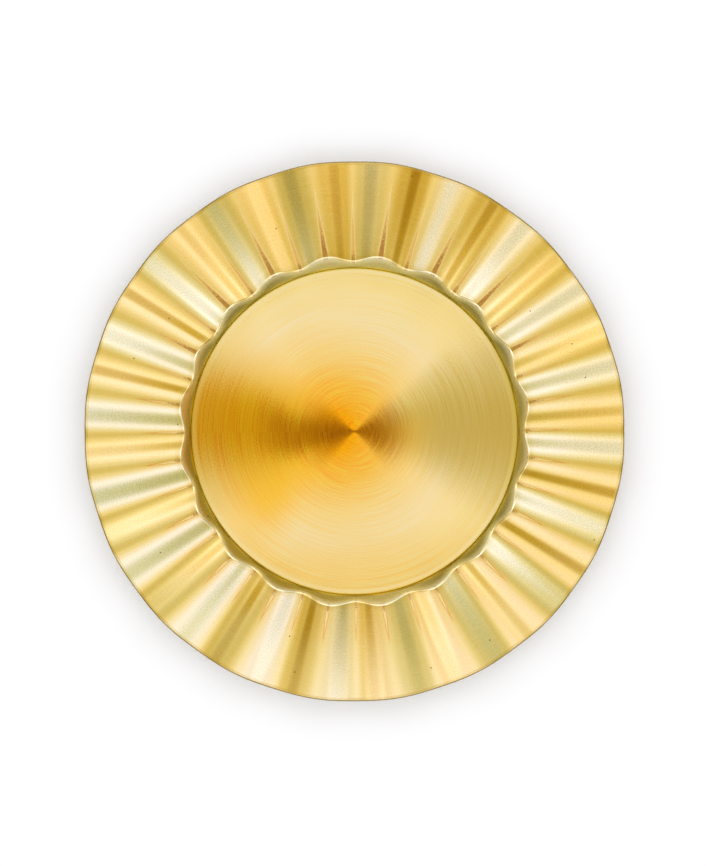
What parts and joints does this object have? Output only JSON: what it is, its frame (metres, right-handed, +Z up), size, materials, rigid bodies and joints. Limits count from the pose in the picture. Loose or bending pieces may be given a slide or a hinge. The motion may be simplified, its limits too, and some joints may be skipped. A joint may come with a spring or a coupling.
{
  "type": "charger plate",
  "caption": "Round gold charger plate with a wide fluted rim, a scalloped step down to the well, and a turned flat disc in the well that a dinner plate stands on.",
  "frame": {"origin": "middle of the foot ring, on the table", "axes": "+Z up along the plate's axis; a valley of the flutes lies on each of the X and Y axes"},
  "size_m": [0.33, 0.33, 0.0202],
  "materials": {
    "gilt_moulding": "silvered moulding under a gold-tinted clear lacquer, finely brushed round the plate",
    "bond": "translucent adhesive film",
    "turned_disc": "turned face under a gold-tinted clear lacquer"
  },
  "bodies": {
    "root": {"fluted_plate": "gilt_moulding", "bond_film": "bond", "centre_disc": "turned_disc"}
  },
  "joints": []
}
